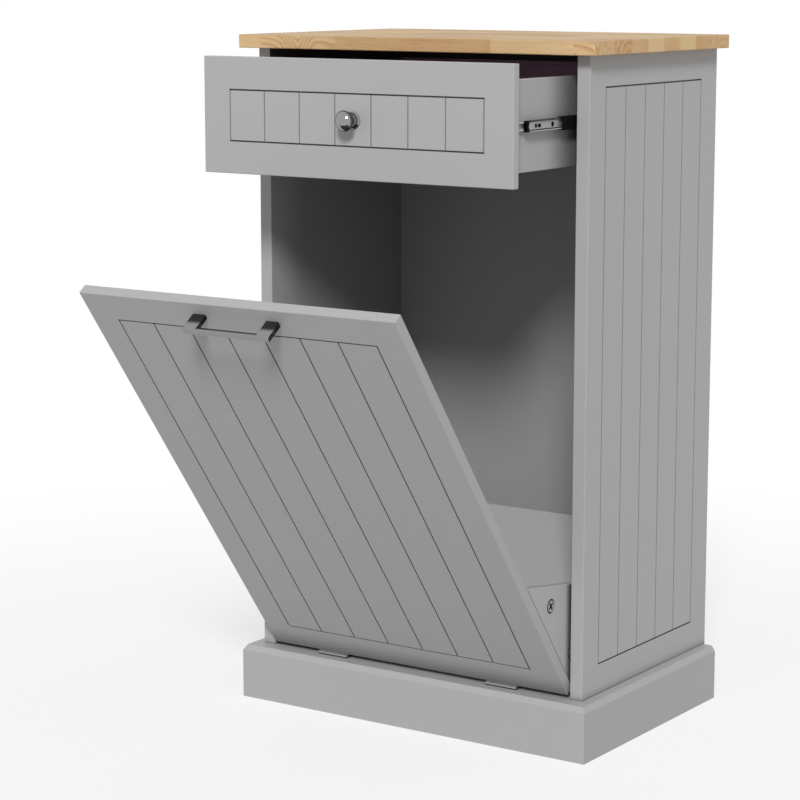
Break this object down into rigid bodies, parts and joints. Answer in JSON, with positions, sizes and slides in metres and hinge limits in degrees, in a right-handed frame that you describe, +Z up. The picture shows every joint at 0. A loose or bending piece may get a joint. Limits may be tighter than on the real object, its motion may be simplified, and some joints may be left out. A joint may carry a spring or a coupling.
{
  "type": "kitchen trash cabinet",
  "caption": "Free-standing kitchen bin cabinet with a wooden top, a drawer on ball slides and a tilt-out door that carries a bin tray.",
  "frame": {"origin": "middle of the front plinth board's underside, on the floor", "axes": "+Z up, +X to the cabinet's right as seen from the front, +Y from the front to the rear"},
  "size_m": [0.539, 0.7353, 0.9],
  "materials": {
    "painted_board": "satin grey paint on fibreboard",
    "drawer_paint": "satin light grey paint on board",
    "dark_board": "dark plum-grey board",
    "rubberwood": "clear satin lacquer on glued rubberwood staves",
    "beech": "plain planed wood",
    "chrome": "polished chrome plate",
    "satin_steel": "satin nickel",
    "zinc": "bright zinc plate",
    "screw_steel": "zinc-plated steel",
    "black_plastic": "black moulded plastic"
  },
  "bodies": {
    "cabinet": {"side_panel_left": "painted_board", "side_panel_right": "painted_board", "bottom_panel": "painted_board", "back_board": "painted_board", "drawer_bay_back": "dark_board", "top_rail": "dark_board", "worktop": "rubberwood", "worktop_dowels": "beech", "worktop_screws": "screw_steel", "plinth_front": "painted_board", "plinth_left": "painted_board", "plinth_right": "painted_board", "plinth_blocks": "beech", "plinth_screws": "screw_steel", "body_cam_locks": "screw_steel", "body_cam_bolts": "screw_steel", "hinge_fixed_leaves": "zinc", "hinge_pins": "zinc", "hinge_fixed_screws": "screw_steel", "door_stops": "beech", "door_stop_screws": "screw_steel", "slide_cabinet_left": "zinc", "slide_cabinet_right": "zinc", "slide_cabinet_screws": "screw_steel"},
    "door": {"door_panel": "painted_board", "pull_handle": "satin_steel", "handle_screws": "screw_steel", "tray_gusset_left": "painted_board", "tray_gusset_right": "painted_board", "tray_floor": "painted_board", "tray_cam_locks": "screw_steel", "tray_cam_bolts": "screw_steel", "tray_floor_screws": "screw_steel", "hinge_moving_leaves": "zinc", "hinge_moving_screws": "screw_steel"},
    "drawer": {"drawer_front": "painted_board", "drawer_side_left": "drawer_paint", "drawer_side_right": "drawer_paint", "drawer_back": "drawer_paint", "drawer_bottom": "drawer_paint", "drawer_knob": "chrome", "knob_screw": "screw_steel", "drawer_cam_locks": "screw_steel", "drawer_cam_bolts": "screw_steel", "drawer_back_screws": "screw_steel", "slide_drawer_left": "zinc", "slide_drawer_right": "zinc", "slide_drawer_screws": "screw_steel"},
    "middle_left": {"slide_middle_left": "zinc", "slide_bumper_left": "black_plastic"},
    "middle_right": {"slide_middle_right": "zinc", "slide_bumper_right": "black_plastic"},
    "cage_left": {"ball_cage_left": "black_plastic", "slide_balls_left": "zinc"},
    "cage_right": {"ball_cage_right": "black_plastic", "slide_balls_right": "zinc"}
  },
  "joints": [
    {"name": "door_tilt", "type": "hinge", "parent": "cabinet", "child": "door", "pos_m": [0, 0.0091, 0.0753], "axis": [1, 0, 0], "range_deg": [-36.6, 0]},
    {"name": "drawer_slide", "type": "slide", "parent": "cabinet", "child": "drawer", "axis": [0, -1, 0], "range_m": [-0.142, 0.048]},
    {"name": "middle_left_slide", "type": "slide", "parent": "cabinet", "child": "middle_left", "axis": [0, -1, 0], "range_m": [-0.12453, 0.0421]},
    {"name": "middle_right_slide", "type": "slide", "parent": "cabinet", "child": "middle_right", "axis": [0, -1, 0], "range_m": [-0.12453, 0.0421]},
    {"name": "cage_left_slide", "type": "slide", "parent": "cabinet", "child": "cage_left", "axis": [0, -1, 0], "range_m": [-0.06227, 0.02105]},
    {"name": "cage_right_slide", "type": "slide", "parent": "cabinet", "child": "cage_right", "axis": [0, -1, 0], "range_m": [-0.06227, 0.02105]}
  ],
  "couplings": [
    {"joint": "middle_left_slide", "follows": "drawer_slide", "ratio": 0.877},
    {"joint": "middle_right_slide", "follows": "drawer_slide", "ratio": 0.877},
    {"joint": "cage_left_slide", "follows": "drawer_slide", "ratio": 0.4385},
    {"joint": "cage_right_slide", "follows": "drawer_slide", "ratio": 0.4385}
  ]
}
